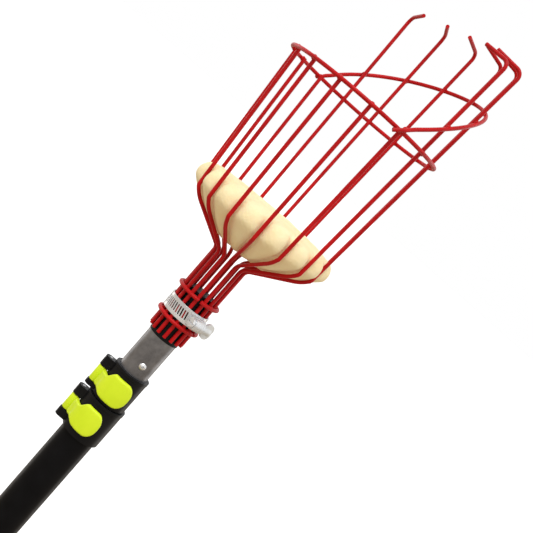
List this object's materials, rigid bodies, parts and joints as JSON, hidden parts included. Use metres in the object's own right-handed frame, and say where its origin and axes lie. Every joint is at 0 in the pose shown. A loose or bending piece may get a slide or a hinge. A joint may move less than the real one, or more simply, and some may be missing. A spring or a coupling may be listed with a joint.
{
  "type": "fruit picker basket",
  "caption": "Wire fruit-picker basket with hooked fingers and a foam pad, clamped on a collapsible telescopic pole with flip locks.",
  "frame": {"origin": "middle of the hand grip, on the pole axis", "axes": "+Z along the pole towards the basket's mouth; the hooked fingers stand over -Y; X completes the frame"},
  "size_m": [0.1438, 0.1431, 0.8874],
  "materials": {
    "red_coating": "red plastic-dipped steel wire, semi-gloss",
    "bare_aluminium": "drawn mill finish",
    "black_tube": "satin black powder coat on aluminium tube",
    "grip_rubber": "ribbed matt rubber",
    "black_plastic": "moulded, satin",
    "bush_plastic": "moulded",
    "plug_plastic": "moulded, satin",
    "lime_plastic": "moulded, semi-gloss",
    "pin_steel": "plain steel",
    "rivet_aluminium": "bright",
    "cream_foam": "open-cell polyurethane foam, soft and matt",
    "clamp_steel": "zinc-plated strip steel",
    "wing_zinc": "die-cast, satin"
  },
  "bodies": {
    "grip_section": {"end_cap": "grip_rubber", "grip": "grip_rubber", "outer_tube": "black_tube", "lower_collar": "black_plastic", "lower_lock_pin": "pin_steel"},
    "lower_lock_lever": {"lower_lever": "lime_plastic"},
    "middle_section": {"middle_tube": "bare_aluminium", "middle_bush": "bush_plastic", "upper_collar": "black_plastic", "upper_lock_pin": "pin_steel"},
    "upper_lock_lever": {"upper_lever": "lime_plastic"},
    "head_section": {"inner_tube": "bare_aluminium", "inner_bush": "bush_plastic", "stop_rivet": "rivet_aluminium", "tip_plug": "plug_plastic", "finger_front": "red_coating", "finger_left_1": "red_coating", "finger_left_2": "red_coating", "finger_left_3": "red_coating", "finger_right_1": "red_coating", "finger_right_2": "red_coating", "finger_right_3": "red_coating", "wire_left_4": "red_coating", "wire_left_5": "red_coating", "wire_left_6": "red_coating", "wire_left_7": "red_coating", "wire_right_4": "red_coating", "wire_right_5": "red_coating", "wire_right_6": "red_coating", "wire_right_7": "red_coating", "rim_ring": "red_coating", "finger_hoop": "red_coating", "upper_neck_ring": "red_coating", "lower_neck_ring": "red_coating", "foam_pad": "cream_foam", "clamp_band": "clamp_steel", "clamp_housing": "clamp_steel"},
    "clamp_key": {"clamp_screw": "clamp_steel", "clamp_wing": "wing_zinc"}
  },
  "joints": [
    {"name": "lower_slide", "type": "slide", "parent": "grip_section", "child": "middle_section", "axis": [0, 0, 1], "range_m": [0, 0.4]},
    {"name": "upper_slide", "type": "slide", "parent": "middle_section", "child": "head_section", "axis": [0, 0, 1], "range_m": [0, 0.4]},
    {"name": "lower_lever_hinge", "type": "hinge", "parent": "grip_section", "child": "lower_lock_lever", "pos_m": [0.01066, 0.01774, 0.4145], "axis": [0, 0, -1], "range_deg": [0, 100]},
    {"name": "upper_lever_hinge", "type": "hinge", "parent": "middle_section", "child": "upper_lock_lever", "pos_m": [0.00989, 0.01646, 0.4449], "axis": [0, 0, -1], "range_deg": [0, 100]},
    {"name": "clamp_key_turn", "type": "hinge", "parent": "head_section", "child": "clamp_key", "pos_m": [-0.02163, -0.00227, 0.5254], "axis": [0.1045, -0.9945, 0], "continuous": true}
  ]
}
